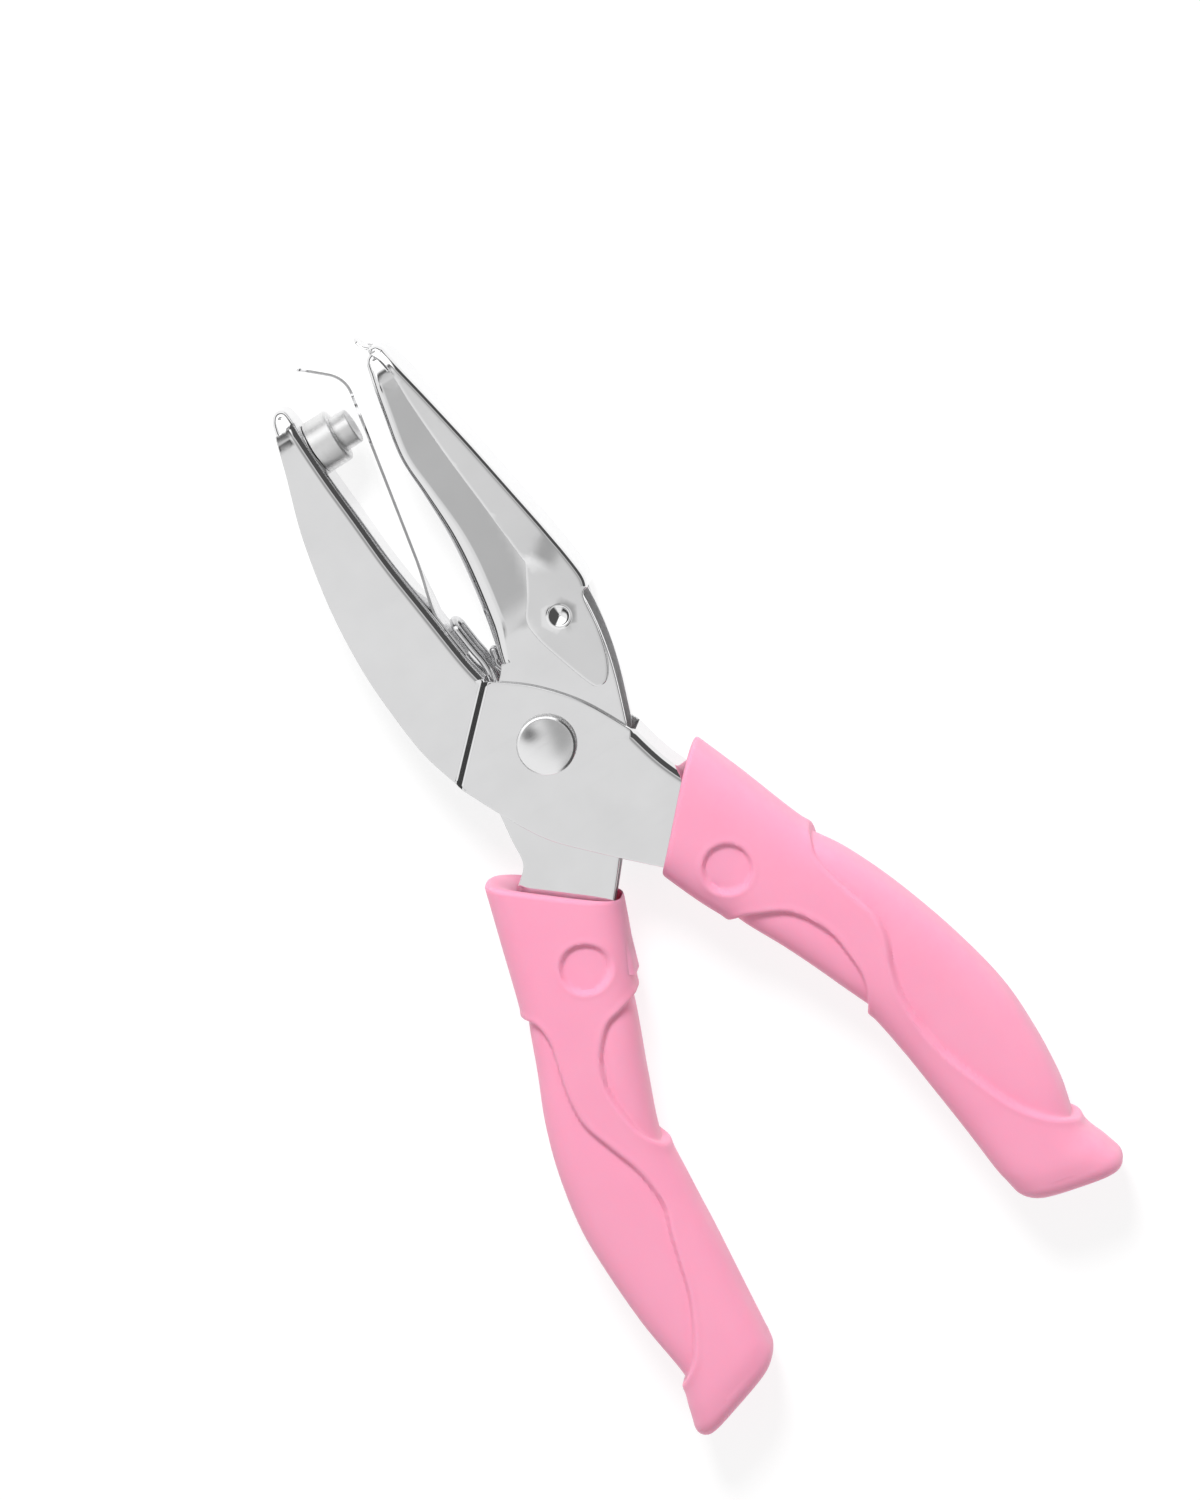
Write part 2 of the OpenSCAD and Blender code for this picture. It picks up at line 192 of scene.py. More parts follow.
def make(name, verts, faces, material, body=None, cad=(), lining=None):
    """A new piece from points in millimetres above the mid-plane.

    lining is the number of its first face and the material from that face on."""
    mesh = bpy.data.meshes.new(name)
    v = np.array(verts, float)
    v[:, 2] += MID
    mesh.from_pydata([tuple(p) for p in v * MM], [], [tuple(map(int, f)) for f in faces])
    mesh.materials.append(material)
    if lining:
        mesh.materials.append(lining[1])
        mesh.polygons.foreach_set("material_index", [int(i >= lining[0]) for i in range(len(faces))])
    mesh.validate()
    obj = bpy.data.objects.new(name, mesh)
    bpy.context.scene.collection.objects.link(obj)
    tidy(obj)
    mesh.shade_smooth()
    mesh.set_sharp_from_angle(angle=SHARP)
    if body:
        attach(obj, body)
    if cad:
        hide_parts(*cad)
    return obj


def tidy(obj):
    """Joins points at one place, removes what has no area, and turns all faces outwards."""
    b = bmesh.new()
    b.from_mesh(obj.data)
    bmesh.ops.remove_doubles(b, verts=b.verts, dist=1e-6)
    bmesh.ops.dissolve_degenerate(b, dist=1e-7, edges=b.edges)
    loose = [v for v in b.verts if not v.link_faces]
    bmesh.ops.delete(b, geom=loose, context="VERTS")
    bmesh.ops.recalc_face_normals(b, faces=b.faces)
    b.to_mesh(obj.data)
    b.free()


def thicken(obj, thickness, edge):
    """Gives a strip its thickness on the inside and breaks its edges."""
    solid = obj.modifiers.new("thickness", "SOLIDIFY")
    solid.thickness = thickness * MM
    solid.offset = -1
    solid.use_quality_normals = True
    round_edges(obj, edge)


def round_edges(obj, edge):
    bevel = obj.modifiers.new("edge", "BEVEL")
    bevel.width = edge * MM
    bevel.segments = 2
    bevel.limit_method = "ANGLE"
    bevel.angle_limit = EDGE_ANGLE
    bevel.use_clamp_overlap = True
    even_shading(obj)


def even_shading(obj):
    """Keeps large faces flat in their shading beside small rounded ones."""
    normals = obj.modifiers.new("shading", "WEIGHTED_NORMAL")
    normals.keep_sharp = True
    normals.weight = 80


def formed(name, parts, top, materials, sheet, holes=(), spacing=1.3, extra=(), bends=10):
    """A pressed channel, open where its outline is free and walled where it is bent over.

    parts is a list of (points, bend radius), radius 0 for a free edge; the radius may be a function
    of the points. top gives the height of the outer face above the mid-plane at points of the
    outline. materials are for the outside and the inside of the channel."""
    loop, radius = [], []
    for points, r in parts:
        wide = r(points) if callable(r) else np.full(len(points), r)
        for p, w in zip(points, wide):
            if loop and np.hypot(*(p - loop[-1])) < 0.02:
                radius[-1] = max(radius[-1], w)
                continue
            loop.append(p)
            radius.append(w)
    if np.hypot(*(loop[0] - loop[-1])) < 0.02:
        radius[0] = max(radius[0], radius.pop())
        loop.pop()
    loop, radius = np.array(loop), np.array(radius)
    ahead = np.roll(loop, -1, 0)
    if np.sum(loop[:, 0] * ahead[:, 1] - ahead[:, 0] * loop[:, 1]) > 0:
        loop, radius = loop[::-1], radius[::-1]  # always clockwise, as the faces below need
    loop, radius = finer(loop, radius, top)
    walled = radius > 0
    bend = np.where(walled, radius, EDGE)
    turn = facing_in(loop)
    for _ in range(2):
        turn = turn + 0.5 * (np.roll(turn, 1, 0) + np.roll(turn, -1, 0))
        turn /= np.hypot(turn[:, 0], turn[:, 1])[:, None]
    turn = np.where(walled[:, None], turn, facing_in(loop))
    inner = loop + turn * bend[:, None]
    height = top(inner)
    beside = inner + turn * 0.3
    flat, faces, at = filled(inner, holes, spacing, [*extra, *beside])
    level = top(flat)
    n = len(loop)
    outer = [np.column_stack([flat, level])]
    lining = [np.column_stack([flat, level - sheet])]
    rings = [np.array(at[:n])]
    total = len(flat)

    def add_ring(out_at, out_z, in_at, in_z):
        nonlocal total
        outer.append(np.column_stack([out_at, out_z]))
        lining.append(np.column_stack([in_at, in_z]))
        rings.append(np.arange(total, total + n))
        total += n

    inside_bend = np.where(walled, bend - sheet, bend)
    for k in range(1, bends + 1):
        a = math.pi / 2 * k / bends
        out, down = 1 - math.sin(a), 1 - math.cos(a)
        in_off = np.where(walled, sheet, 0) + inside_bend * out
        in_z = height - sheet + np.where(walled, -1, 1) * inside_bend * down
        add_ring(loop + turn * (bend * out)[:, None], height - bend * down,
                 loop + turn * in_off[:, None], in_z)
    for upper, lower in zip(rings, rings[1:]):
        faces += [(upper[i], upper[i - n + 1], lower[i - n + 1], lower[i]) for i in range(n)]
    # The lower half is the mirror image of the upper one, with walls between them
    half, foot = total, rings[-1]
    faces += [tuple(half + v for v in reversed(f)) for f in faces]
    outer = [np.concatenate(outer)]
    lining = [np.concatenate(lining)]
    outer.append(outer[0] * (1, 1, -1))
    lining.append(lining[0] * (1, 1, -1))
    total *= 2
    levels, steps = [foot], 6
    for k in range(1, steps):
        z = (height - bend) * (1 - 2 * k / steps)
        add_ring(loop, z, loop + turn * sheet, z)
        levels.append(rings[-1])
    levels.append(foot + half)
    for a, b in zip(levels, levels[1:]):
        for i in range(n):
            j = (i + 1) % n
            if walled[i] and walled[j]:
                faces.append((a[i], a[j], b[j], b[i]))
    # Rims join the outside and the lining along every open edge
    sides = {}
    for f in faces:
        for a, b in zip(f, f[1:] + f[:1]):
            sides[(a, b)] = True
    rims = [(b, a, a + total, b + total) for a, b in sides if (b, a) not in sides]
    linings = [tuple(v + total for v in reversed(f)) for f in faces]
    verts = np.concatenate(outer + lining)
    first = len(faces) + len(rims)
    obj = make(name, verts, faces + rims + linings, materials[0], lining=(first, materials[1]))
    even_shading(obj)
    return obj


def bored(obj, centre, direction, radius, depth):
    """Cuts a round hole through a piece, from depth before the centre to depth past it."""
    verts, faces = lathe([(0, -depth), (radius, -depth), (radius, depth), (0, depth)])
    mesh = bpy.data.meshes.new("bore")
    mesh.from_pydata([tuple(p) for p in np.array(verts, float) * MM], [],
                     [tuple(map(int, f)) for f in faces])
    cutter = bpy.data.objects.new("bore", mesh)
    bpy.context.scene.collection.objects.link(cutter)
    tidy(cutter)
    turn = Vector(direction).to_track_quat("Z", "Y").to_matrix().to_4x4()
    cutter.matrix_world = Matrix.Translation(Vector(centre) * MM) @ turn
    obj.modifiers.clear()
    cut = obj.modifiers.new("bore", "BOOLEAN")
    cut.object = cutter
    cut.solver = "EXACT"
    bpy.context.view_layer.update()
    done = obj.evaluated_get(bpy.context.evaluated_depsgraph_get())
    mesh = bpy.data.meshes.new_from_object(done)
    obj.modifiers.clear()
    obj.data = mesh
    bpy.data.objects.remove(cutter)
    mesh.set_sharp_from_angle(angle=SHARP)
    even_shading(obj)


def finer(loop, radius, top):
    """Adds points to the outline where the height changes quickly."""
    out, wide = [], []
    z = top(loop)
    for i in range(len(loop)):
        j = (i + 1) % len(loop)
        parts = 1 + int(min(12, abs(z[j] - z[i]) / 0.06))
        for k in range(parts):
            t = k / parts
            out.append(loop[i] * (1 - t) + loop[j] * t)
            wide.append(radius[i] if radius[i] * radius[j] == 0 and k == 0 else
                        (radius[i] * (1 - t) + radius[j] * t if radius[i] * radius[j] else 0))
    return np.array(out), np.array(wide)


def lathe(profile, count=96):
    """A turned piece: profile is (radius, height) pairs, closed on the axis."""
    verts, rows = [], []
    for r, h in profile:
        base = len(verts)
        if r < 1e-6:
            verts.append((0, 0, h))
            rows.append([base] * count)
            continue
        for x, y in ring_of((0, 0), r, count):
            verts.append((x, y, h))
        rows.append(list(range(base, base + count)))
    faces = []
    for a, b in zip(rows, rows[1:]):
        for i in range(count):
            j = (i + 1) % count
            face = [a[i], a[j], b[j], b[i]]
            face = [v for k, v in enumerate(face) if v not in face[:k]]
            if len(face) > 2:
                faces.append(face)
    return np.array(verts), faces


def corner(centre, radius, a, b, count=6):
    """Points of a rounded corner of a profile."""
    t = np.radians(np.linspace(a, b, count + 1))
    return [(centre[0] + radius * math.cos(x), centre[1] + radius * math.sin(x)) for x in t]


def tube(path, radius, sides=16):
    """Round wire along the path, with rounded ends."""
    path = np.array(path, float)
    way = np.gradient(path, axis=0)
    way /= np.linalg.norm(way, axis=1)[:, None]
    side = np.cross(way[0], (0, 0, 1.0))
    stations = []
    for i, d in enumerate(way):
        side = side - d * (side @ d)
        side /= np.linalg.norm(side)
        stations.append((path[i], d, side.copy(), radius))
    rounds = 4
    for end, sign in ((0, -1), (-1, 1)):
        p, d, s, _ = stations[end]
        caps = []
        for k in range(1, rounds + 1):
            a = math.pi / 2 * k / rounds
            caps.append((p + sign * d * radius * math.sin(a), d, s, radius * math.cos(a) + 1e-3))
        stations = caps[::-1] + stations if sign < 0 else stations + caps
    verts, faces = [], []
    for p, d, s, r in stations:
        up = np.cross(d, s)
        for k in range(sides):
            a = 2 * math.pi * k / sides
            verts.append(p + r * (math.cos(a) * s + math.sin(a) * up))
    for i in range(len(stations) - 1):
        for k in range(sides):
            m = (k + 1) % sides
            faces.append(
                (i * sides + k, i * sides + m, (i + 1) * sides + m, (i + 1) * sides + k)
            )
    faces.append(tuple(range(sides - 1, -1, -1)))
    last = (len(stations) - 1) * sides
    faces.append(tuple(range(last, last + sides)))
    return verts, faces


# ---------------------------------------------------------------- materials


class Nodes:
    """A material's node tree, with short ways to add to it."""

    def __init__(self, name):
        self.material = bpy.data.materials.new(name)
        self.material.use_nodes = True
        self.tree = self.material.node_tree
        self.shader = self.tree.nodes["Principled BSDF"]
        self.coords = self.add("ShaderNodeTexCoord").outputs["Object"]

    def add(self, kind, **inputs):
        node = self.tree.nodes.new(kind)
        for key, value in inputs.items():
            node.inputs[key.replace("_", " ")].default_value = value
        return node

    def link(self, a, b):
        self.tree.links.new(a, b)

    def noise(self, scale, detail=2.0, stretch=(1, 1, 1), turn=0.0):
        place = self.add("ShaderNodeMapping")
        place.inputs["Scale"].default_value = stretch
        place.inputs["Rotation"].default_value = (0, 0, turn)
        self.link(self.coords, place.inputs["Vector"])
        node = self.add("ShaderNodeTexNoise", Scale=scale, Detail=detail, Roughness=0.55)
        self.link(place.outputs["Vector"], node.inputs["Vector"])
        return node.outputs["Fac"]

    def ranged(self, value, low, high, start=0.3, end=0.7):
        node = self.add("ShaderNodeMapRange")
        for key, number in (
            ("From Min", start), ("From Max", end), ("To Min", low), ("To Max", high)
        ):
            node.inputs[key].default_value = number
        self.link(value, node.inputs["Value"])
        return node.outputs["Result"]

    def mixed(self, factor, a, b):
        node = self.add("ShaderNodeMix")
        node.data_type = "RGBA"
        node.inputs["A"].default_value = (*a, 1)
        node.inputs["B"].default_value = (*b, 1)
        self.link(factor, node.inputs["Factor"])
        return node.outputs["Result"]

    def relief(self, value, strength, distance, under=None):
        node = self.add("ShaderNodeBump", Strength=strength, Distance=distance)
        self.link(value, node.inputs["Height"])
        if under:
            self.link(under, node.inputs["Normal"])
        return node.outputs["Normal"]


def plated(name, tint, rough, wave=0.00002):
    """Bright plate over pressed steel: faint ripples, hairline scratches and uneven polish."""
    m = Nodes(name)
    m.shader.inputs["Metallic"].default_value = 1
    patches = m.noise(120, 3)
    color = m.mixed(m.ranged(patches, 0, 1), tint, [c * 0.955 for c in tint])
    m.link(color, m.shader.inputs["Base Color"])
    scratches = m.noise(900, 2, stretch=(0.06, 1.4, 1), turn=0.5)
    worn = m.add("ShaderNodeMath")
    worn.operation = "ADD"
    m.link(m.ranged(patches, rough * 0.8, rough * 1.2), worn.inputs[0])
    m.link(m.ranged(scratches, 0, rough * 0.5, 0.55, 0.75), worn.inputs[1])
    m.link(worn.outputs[0], m.shader.inputs["Roughness"])
    ripples = m.relief(m.noise(70, 1), 0.5, wave)
    fine = m.relief(scratches, 0.15, 0.000004, ripples)
    m.link(fine, m.shader.inputs["Normal"])
    return m.material


def turned(name, tint, rough, axis):
    """Turned steel: fine rings round the axis over a satin surface."""
    m = Nodes(name)
    m.shader.inputs["Metallic"].default_value = 1
    stretch = (1, 0.02, 0.02) if axis == "x" else (1, 1, 0.02)
    rings = m.noise(9000, 3, stretch=stretch)
    soft = m.noise(350, 2)
    m.link(m.mixed(m.ranged(soft, 0, 1), tint, [c * 0.93 for c in tint]), m.shader.inputs["Base Color"])
    m.link(m.ranged(rings, rough * 0.8, rough * 1.3), m.shader.inputs["Roughness"])
    m.link(m.relief(rings, 0.25, 0.000006), m.shader.inputs["Normal"])
    return m.material


def drawn_wire(name, tint, rough):
    """Spring wire or strip: long drawing marks and slightly uneven colour."""
    m = Nodes(name)
    m.shader.inputs["Metallic"].default_value = 1
    marks = m.noise(2500, 2, stretch=(1, 0.05, 1))
    m.link(m.mixed(m.ranged(m.noise(300, 2), 0, 1), tint, [c * 0.85 for c in tint]),
           m.shader.inputs["Base Color"])
    m.link(m.ranged(marks, rough * 0.7, rough * 1.4), m.shader.inputs["Roughness"])
    m.link(m.relief(marks, 0.2, 0.000006), m.shader.inputs["Normal"])
    return m.material


def vinyl(name, light, shade):
    """Soft satin vinyl: even pink with faint clouding and a fine moulded grain."""
    m = Nodes(name)
    clouds = m.noise(45, 3)
    m.link(m.mixed(m.ranged(clouds, 0, 1), light, shade), m.shader.inputs["Base Color"])
    m.link(m.ranged(m.noise(160, 2), 0.42, 0.54), m.shader.inputs["Roughness"])
    grain = m.noise(5200, 2)
    m.link(m.relief(grain, 0.12, 0.00003), m.shader.inputs["Normal"])
    m.shader.inputs["Subsurface Weight"].default_value = 0.25
    m.shader.inputs["Subsurface Radius"].default_value = (1.0, 0.25, 0.35)
    m.shader.inputs["Subsurface Scale"].default_value = 0.002
    m.shader.inputs["IOR"].default_value = 1.46
    m.shader.inputs["Specular IOR Level"].default_value = 0.42
    return m.material


ARM = plated("bright_plate", (0.80, 0.80, 0.805), 0.075)
THIN = plated("bright_thin_plate", (0.84, 0.84, 0.845), 0.08, wave=0.000012)
DULL = plated("unpolished_inside", (0.78, 0.78, 0.785), 0.42)
RIVET = plated("polished_rivet", (0.85, 0.85, 0.855), 0.2, wave=0.000008)
# Rivet sides: satin turned steel with a brighter tint than the head. The brighter tint is painted light
# that lifts the dark ring the sides would reflect.
RIVET_SIDE_BRIGHTENED = turned("rivet_side_brightened", (0.95, 0.95, 0.95), 0.6, "z")
TURNED = turned("turned_steel", (0.9, 0.9, 0.9), 0.42, "x")
SPACER = turned("turned_spacer", (0.7, 0.7, 0.71), 0.32, "z")
WIRE = drawn_wire("spring_wire", (0.72, 0.72, 0.73), 0.16)
STRIP = drawn_wire("spring_strip", (0.74, 0.74, 0.75), 0.2)
PINK = vinyl("pink_vinyl", (0.9, 0.36, 0.51), (0.89, 0.335, 0.49))


# ---------------------------------------------------------------- punch arm

arm_a_free = [(-14.4, 1.4), (-16.2, 8), (-16.9, 15), (-17.1, 23), (-16.2, 33), (-13.9, 44),
              (-10.9, 53), (-9.2, 58.6)]
arm_a_nose = [(-9.2, 58.6), (-8.75, 60.2), (-7.9, 61.2), (-6.9, 61.3), (-6.1, 60.5), (-5.8, 58.5)]
arm_a_web = [(-5.8, 58.5), (-5.7, 50), (-5.3, 42), (-4.9, 34), (-4.1, 26), (-3.2, 17),
             (-2.5, 12.9)]
arm_a_upper = [(-2.7, 12.5), (2.9, 8.2), (7.8, 2.4), (11.5, -4.6)]
arm_a_outer = [(11.9, -5.1), (13.6, -11.5), (17, -19), (21.5, -28), (26, -38), (29.8, -50),
               (32, -62), (32.6, -74), (32, -85)]
arm_a_inner = [(26.2, -85), (24.6, -73), (22.4, -63), (19.4, -53), (14.8, -43.5), (9.6, -34.5),
               (4.6, -24.3)]
arm_a_lower = [(4.6, -24.3), (-2.6, -17.2), (-7.7, -11.6), (-11.2, -5.4), (-14.4, 1.4)]
joggle_from, joggle_to = np.array((-14.4, 1.4)), np.array((-2.7, 12.6))
BEND = 1.5
NOSE_BEND = 1.1
RAMP = 0.62  # half the width of the sloping step between jaw and plates


def past_joggle(p):
    """Distance past the joggle's line, towards the pivot."""
    d = joggle_to - joggle_from
    d = d / np.hypot(*d)
    rel = p - joggle_from
    return rel[:, 0] * d[1] - rel[:, 1] * d[0]


def in_sleeve(p):
    """0 outside the sleeves, 1 well inside, where the tangs are pressed narrower."""
    return ease(-28, -35, p[:, 1])


def punch_arm_top(p):
    step = np.clip((past_joggle(p) + RAMP) / (2 * RAMP), 0, 1)
    tip = np.clip(p[:, 1] - 55.6, 0, None)
    jaw = p[:, 1] > 0
    roll = np.where(jaw, 0.052 * tip**2, 0)
    lean = 0.018 * np.clip(-p[:, 0] - 6, 0, None) * ease(4, 20, p[:, 1])
    return JAW_TOP + SHEET * step - np.minimum(roll, 1.7) - lean - 1.4 * in_sleeve(p)


def joggle_points():
    d = joggle_to - joggle_from
    length = np.hypot(*d)
    d = d / length
    across = np.array((d[1], -d[0]))
    return [
        joggle_from + d * s + across * o
        for s in np.arange(0, length, 0.45)
        for o in (-RAMP - 0.12, -RAMP, -RAMP / 2, 0, RAMP / 2, RAMP, RAMP + 0.12)
    ]


punch_arm = formed(
    "punch_arm_pressing",
    [
        (curve(arm_a_free), 0),
        (curve(arm_a_nose, 6), NOSE_BEND),
        (curve(arm_a_web), BEND),
        (curve(arm_a_upper), 0),
        (curve(arm_a_outer), BEND),
        (curve(arm_a_inner), 0),
        (curve(arm_a_lower), 0),
    ],
    punch_arm_top,
    (ARM, DULL),
    SHEET,
    holes=[ring_of((0, 0), SHANK_R, 48)],
    extra=joggle_points(),
)
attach(punch_arm, "punch_side")
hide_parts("punch_arm")

# ---------------------------------------------------------------- die arm

arm_b_web = [(0.6, 13.3), (1.9, 19.5), (3.1, 26), (4, 33), (4.3, 40), (4.42, 46.4),
             (5.85, 53.2), (7.2, 59)]
arm_b_nose = [(7.2, 59), (7.55, 60.3), (8.4, 61.1), (9.4, 61.1), (10.2, 60.2), (10.6, 58)]
arm_b_free = [(10.6, 58), (12.2, 50), (13.9, 40), (15.2, 30), (16, 21), (16.1, 15.4),
              (15.4, 9.6), (13.9, 3.6), (11.1, -4.2)]
arm_b_under = [(11.1, -4.2), (7.4, -10.3), (-0.2, -19.8), (-5.2, -25.6)]
arm_b_inner = [(-5.2, -25.6), (-9, -34), (-12.8, -42.5), (-16.4, -51.5), (-19.2, -61),
               (-20.6, -70), (-21.6, -78), (-22.2, -86)]
arm_b_outer = [(-29.2, -86), (-30.3, -77), (-30.6, -67), (-29.8, -57), (-27.7, -47),
               (-24.6, -37.5), (-20.9, -29), (-17.9, -21.5), (-15.2, -15.6)]
arm_b_waist = [(-15.2, -15.6), (-12.7, -13.2), (-12.2, -9.6), (-11.6, -5.4), (-11, -0.5),
               (-8.4, 4), (-4.2, 8.8), (-0.6, 11.8), (0.6, 13.3)]


def die_bend(p):
    """The bend along the throat is tight at the nose and wide towards the pivot."""
    return 2.5 - 1.3 * ease(27, 47, p[:, 1]) - 1.1 * ease(19, 13, p[:, 1])


def die_arm_top(p):
    tip = np.clip(p[:, 1] - 55.2, 0, None)
    from_web = np.clip(p[:, 0] - np.interp(p[:, 1], [13, 26, 40, 46, 60], [0, 3, 4.3, 4.4, 7]) - 1.6,
                       -1.5, 7)
    lean = 0.07 * (from_web + 1.5) * ease(15, 20, p[:, 1])
    return INNER_TOP + 0.1 - np.minimum(0.05 * tip**2, 1.6) - lean - 1.5 * in_sleeve(p)


die_arm = formed(
    "die_arm_pressing",
    [
        (curve(arm_b_web), die_bend),
        (curve(arm_b_nose, 6), NOSE_BEND),
        (curve(arm_b_free), 0),
        (curve(arm_b_under), 0),
        (curve(arm_b_inner), 0),
        (curve(arm_b_outer), BEND),
        (curve(arm_b_waist), 0),
    ],
    die_arm_top,
    (ARM, DULL),
    SHEET,
    holes=[ring_of((0, 0), SHANK_HOLE_R, 48), ring_of(HINGE, HINGE_HOLE_R, 32)],
)
DIE_SEAT, DIE_AXIS, DIE_SEAT_R = (6.4, 53.3, MID), (0.994, -0.113, 0), 3.45
bored(die_arm, DIE_SEAT, DIE_AXIS, DIE_SEAT_R, 1.6)
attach(die_arm, "die_side")
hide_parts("die_arm")

# ---------------------------------------------------------------- chip catcher

catcher_outer = [(17.4, 16.2), (17.8, 18.6), (17, 26), (15.8, 34), (14.4, 43), (12.9, 51.5),
                 (11.6, 58.2), (11, 61)]
catcher_top_edge = [(11, 61), (10.2, 61.9), (8.9, 62)]
catcher_inner = [(8.9, 61.35), (10.2, 58.5), (10.2, 52), (10.5, 43), (11.1, 34), (11.7, 24)]
catcher_ear = [(11.7, 24), (9.4, 20), (7.3, 16.9), (7.2, 14), (8.2, 10), (10, 4.4),
               (11, 3.2), (12.6, 3.4), (14.3, 6.2), (15.5, 10.6), (16.2, 15.4), (17.4, 16.2)]
DIMPLE_R, DIMPLE_DEPTH, CATCHER_BEND = 1.45, 0.9, 0.85


def catcher_height(p):
    r = np.hypot(p[:, 0] - HINGE[0], p[:, 1] - HINGE[1])
    dimple = DIMPLE_DEPTH * np.clip(1 - r / DIMPLE_R, 0, 1) - 0.1 * bump((r - DIMPLE_R - 0.15) / 0.2)
    tip = np.clip(p[:, 1] - 56.6, 0, None)
    a, b = np.array(catcher_ear[0]), np.array((14.0, 21.3))
    d = (b - a) / np.hypot(*(b - a))
    rel = p - a
    below = rel[:, 1] * d[0] - rel[:, 0] * d[1]
    ear = 0.25 * ease(-0.1, 0.7, below) * (1 - ease(0.5, 4.5, rel @ d))
    lean = 0.034 * np.clip(17.5 - p[:, 0], 0, 10)
    return CATCHER_TOP - dimple - np.minimum(0.07 * tip**2, 1.5) + ear + lean


hinge_rings = [q for r in (0.3, 0.7, 1.1, 1.35, 1.45, 1.55, 1.65, 1.8, 2)
               for q in ring_of(HINGE, r, 32)]
chip_catcher = formed(
    "chip_catcher_cover",
    [
        (curve(catcher_outer), CATCHER_BEND),
        (curve(catcher_top_edge), CATCHER_BEND),
        (curve(catcher_inner), 0),
        (curve(catcher_ear), 0),
    ],
    catcher_height,
    (THIN, DULL),
    CATCHER_SHEET,
    spacing=0.9,
    extra=hinge_rings + [HINGE],
)
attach(chip_catcher, "catcher")
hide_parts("chip_catcher")


def ribbon(name, face, holes, path, material, spacing=0.7, lean=lambda y: (0, 0)):
    """Thin strip whose face is drawn as (y, z) and whose side view is the path, rising in y.

    lean gives how far the strip leans over at y: the shift of x and y for each unit of height."""
    flat, faces, _ = filled(face, holes, spacing)
    line = np.array(path, float)
    verts = [
        (np.interp(y, line[:, 1], line[:, 0]) + z * lean(y)[0], y + z * lean(y)[1], z)
        for y, z in flat
    ]
    return make(name, verts, faces, material)


lip_path = curve([(9.9, 61.75), (9.4, 61.8), (8.7, 62.2), (8.2, 63), (8.0, 63.8), (7.7, 64.4)], 6)
lip_face = np.array(
    [(61.76, -2.4), (62.6, -2)] + [(63.2 + 1.1 * math.cos(a), 2 * math.sin(a))
     for a in np.linspace(-math.pi / 2, math.pi / 2, 17)] + [(62.6, 2), (61.76, 2.4)]
)
lip = ribbon("chip_catcher_lip", lip_face, [], lip_path, THIN, 0.4)
thicken(lip, 0.4, 0.08)
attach(lip, "catcher")

# ---------------------------------------------------------------- rivet, punch and die

HEAD_R = 4.35
head = [(0, -7.5), (3.65, -7.5)] + corner((3.75, -7.1), 0.4, -90, 0) + [(4.15, -PLATE_TOP)]
shank = [(SHANK_R, -PLATE_TOP), (SHANK_R, PLATE_TOP)]
dome_edge = [(HEAD_R, PLATE_TOP), (HEAD_R, 6.8)] + corner((HEAD_R - 0.2, 6.8), 0.2, 8, 76, 5)
dome = [(r, 7.5 - 0.5 * (r / HEAD_R) ** 2) for r in np.linspace(HEAD_R - 0.2, 0, 18)]
verts, faces = lathe(head + shank + dome_edge + dome)
rivet = make("pivot_rivet_headed", verts, faces, RIVET, "punch_side", ["pivot_rivet"])
# The upright side faces take the brighter material: painted light over the dark ring they would reflect.
rivet.data.materials.append(RIVET_SIDE_BRIGHTENED)
for face in rivet.data.polygons:
    face.material_index = int(abs(face.normal.z) < 0.3)
round_edges(rivet, 0.06)

PUNCH_Y = 53.7
HOLDER_X = -5.7
HOLDER_R, HOLDER_LENGTH = 4.05, 3.85
PIN_R, PIN_OUT = 2.7, 2.55


def on_punch_axis(verts, start):
    """Turns a lathed piece so that its axis lies along +X through the punch."""
    v = np.array(verts, float)
    return np.stack([start + v[:, 2], PUNCH_Y + v[:, 1], -v[:, 0]], 1)


profile = (
    [(1.6, -1), (2, -1), (2, 0), (HOLDER_R - 0.15, 0), (HOLDER_R, 0.15)]
    + corner((HOLDER_R - 0.4, HOLDER_LENGTH - 0.4), 0.4, 0, 90)
    + [(PIN_R + 0.25, HOLDER_LENGTH), (PIN_R + 0.12, HOLDER_LENGTH - 0.1),
       (PIN_R - 0.05, HOLDER_LENGTH - 0.1), (1.6, HOLDER_LENGTH - 0.1), (1.6, -1)]
)
verts, faces = lathe(profile)
holder = make("punch_holder_collar", on_punch_axis(verts, HOLDER_X), faces, TURNED, "punch_side",
              ["punch_holder"])
round_edges(holder, 0.05)

profile = (
    [(0, -HOLDER_LENGTH - 1), (1.55, -HOLDER_LENGTH - 1), (1.55, -0.12), (PIN_R, -0.12)]
    + corner((PIN_R - 0.25, PIN_OUT - 0.25), 0.25, 0, 75, 5)
    + [(2.1, PIN_OUT), (0, PIN_OUT - 0.5)]
)
verts, faces = lathe(profile)
pin = make("punch_pin_ground", on_punch_axis(verts, HOLDER_X + HOLDER_LENGTH), faces, TURNED,
           "punch_side", ["punch_pin"])
round_edges(pin, 0.05)

for node, material in (("die_insert", TURNED), ("pivot_spacer", SPACER)):
    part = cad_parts[node]
    part.data.materials.clear()
    part.data.materials.append(material)
    part.data.polygons.foreach_set("material_index", [0] * len(part.data.polygons))

# ---------------------------------------------------------------- return spring

COIL_R, COIL_PITCH, COIL_TURNS, COIL_START, COIL_LOW = 4.42, 1.38, 1 + 219 / 360, 21, 0.7
WIRE_R = 0.6


